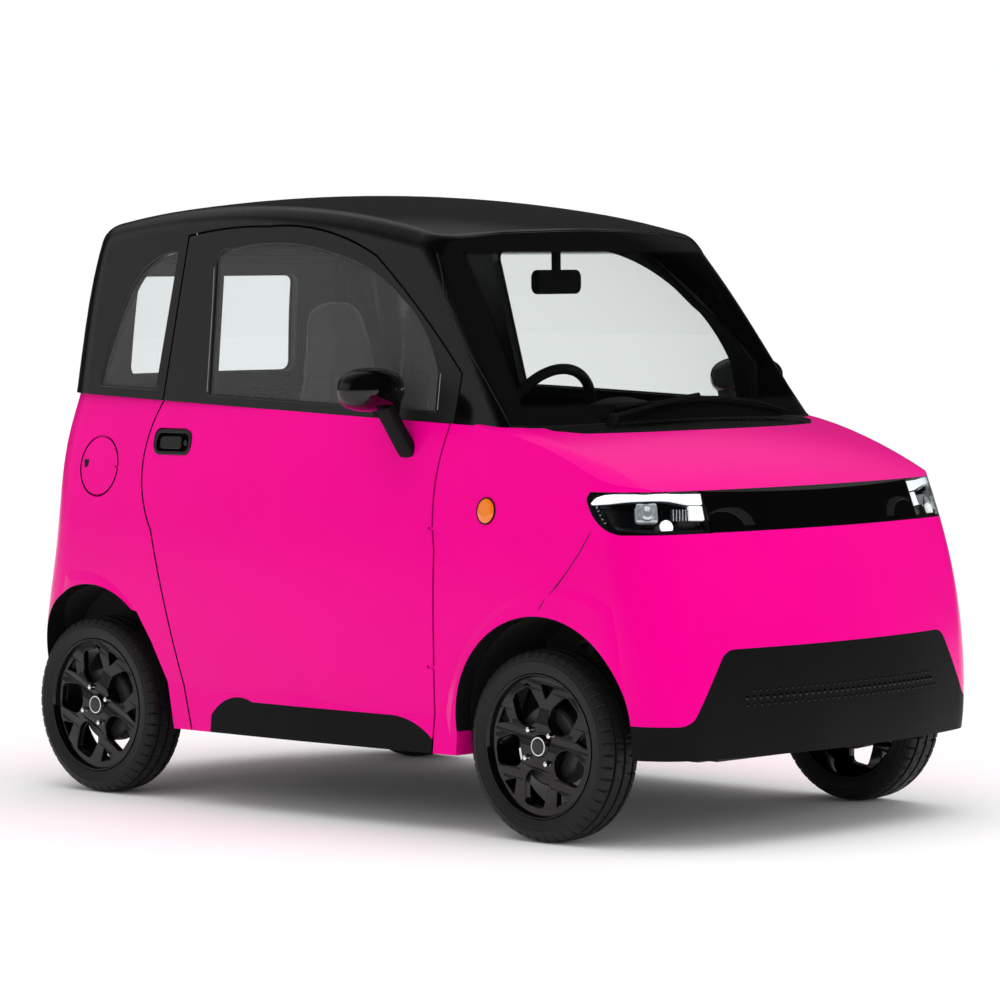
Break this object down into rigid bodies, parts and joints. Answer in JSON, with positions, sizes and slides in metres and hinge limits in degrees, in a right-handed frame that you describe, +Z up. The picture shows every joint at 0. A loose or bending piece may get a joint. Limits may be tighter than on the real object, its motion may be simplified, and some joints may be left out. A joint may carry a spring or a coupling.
{
  "type": "microcar",
  "caption": "Small upright two-seat electric car: hollow panelled body on a floor frame, opening doors, tailgate and charge flap, steered front wheels.",
  "frame": {"origin": "on the ground, under the middle of the body's length and width", "axes": "+Z up, -Y towards the car's front, +X towards the driver's left"},
  "size_m": [1.712, 2.6206, 1.6678],
  "materials": {
    "paint": "gloss",
    "black_trim": "textured matte",
    "gloss_black": "gloss",
    "glass": "tinted",
    "steel": "satin",
    "alloy": "cast",
    "cabin_plastic": "grained",
    "upholstery": "woven",
    "lamp_cover": "clear over dark housing",
    "red_lens": "gloss",
    "black_alloy": "gloss black",
    "tyre": "matt"
  },
  "bodies": {
    "body": {"front_body": "paint", "cowl": "black_trim", "front_bumper": "paint", "lower_bumper": "black_trim", "nose_band": "gloss_black", "rear_bumper": "paint", "roof": "gloss_black", "windscreen": "glass", "chassis": "steel", "battery": "alloy", "rear_axle": "steel", "dashboard": "cabin_plastic", "cabin_mirror": "black_trim", "seat_right": "upholstery", "seat_left": "upholstery", "headlight_right": "lamp_cover", "tail_lamp_right": "red_lens", "quarter_right": "paint", "quarter_glass_right": "glass", "headlight_left": "lamp_cover", "tail_lamp_left": "red_lens", "quarter_left": "paint", "quarter_glass_left": "glass"},
    "door_right": {"door_right": "paint", "door_glass_right": "glass", "door_trim_right": "black_trim", "door_mirror_right": "black_trim"},
    "knuckle_right": {"knuckle_right": "steel"},
    "wheel_front_right": {"rim_front_right": "black_alloy", "tyre_front_right": "tyre"},
    "wheel_rear_right": {"rim_rear_right": "black_alloy", "tyre_rear_right": "tyre"},
    "door_left": {"door_left": "paint", "door_glass_left": "glass", "door_trim_left": "black_trim", "door_mirror_left": "black_trim"},
    "knuckle_left": {"knuckle_left": "steel"},
    "wheel_front_left": {"rim_front_left": "black_alloy", "tyre_front_left": "tyre"},
    "wheel_rear_left": {"rim_rear_left": "black_alloy", "tyre_rear_left": "tyre"},
    "tailgate": {"tailgate": "paint", "tailgate_glass": "glass"},
    "charge_flap": {"charge_flap": "paint"},
    "steering_wheel": {"steering_wheel": "cabin_plastic"}
  },
  "joints": [
    {"name": "door_right_hinge", "type": "hinge", "parent": "body", "child": "door_right", "pos_m": [-0.681, -0.461, 0.6], "axis": [0, 0, 1], "range_deg": [0, 62]},
    {"name": "door_left_hinge", "type": "hinge", "parent": "body", "child": "door_left", "pos_m": [0.681, -0.461, 0.6], "axis": [0, 0, -1], "range_deg": [0, 62]},
    {"name": "tailgate_hinge", "type": "hinge", "parent": "body", "child": "tailgate", "pos_m": [0, 1.15, 1.49], "axis": [1, 0, 0], "range_deg": [0, 75]},
    {"name": "charge_flap_hinge", "type": "hinge", "parent": "body", "child": "charge_flap", "pos_m": [-0.653, 0.807, 0.917], "axis": [0, 0, 1], "range_deg": [0, 95]},
    {"name": "steer_left", "type": "hinge", "parent": "body", "child": "knuckle_left", "pos_m": [0.56, -0.82, 0.247], "axis": [0, 0, 1], "range_deg": [-30, 30]},
    {"name": "steer_right", "type": "hinge", "parent": "body", "child": "knuckle_right", "pos_m": [-0.56, -0.82, 0.247], "axis": [0, 0, 1], "range_deg": [-30, 30]},
    {"name": "steering_wheel_turn", "type": "hinge", "parent": "body", "child": "steering_wheel", "pos_m": [0.26, 0.038, 1.018], "axis": [0, 0.9063, 0.4226], "range_deg": [-450, 450]},
    {"name": "wheel_front_right_spin", "type": "hinge", "parent": "knuckle_right", "child": "wheel_front_right", "pos_m": [-0.606, -0.82, 0.247], "axis": [1, 0, 0], "continuous": true},
    {"name": "wheel_rear_right_spin", "type": "hinge", "parent": "body", "child": "wheel_rear_right", "pos_m": [-0.606, 0.9, 0.247], "axis": [1, 0, 0], "continuous": true},
    {"name": "wheel_front_left_spin", "type": "hinge", "parent": "knuckle_left", "child": "wheel_front_left", "pos_m": [0.606, -0.82, 0.247], "axis": [1, 0, 0], "continuous": true},
    {"name": "wheel_rear_left_spin", "type": "hinge", "parent": "body", "child": "wheel_rear_left", "pos_m": [0.606, 0.9, 0.247], "axis": [1, 0, 0], "continuous": true}
  ],
  "couplings": [
    {"joint": "steer_right", "follows": "steer_left", "ratio": 1},
    {"joint": "steering_wheel_turn", "follows": "steer_left", "ratio": 15}
  ]
}
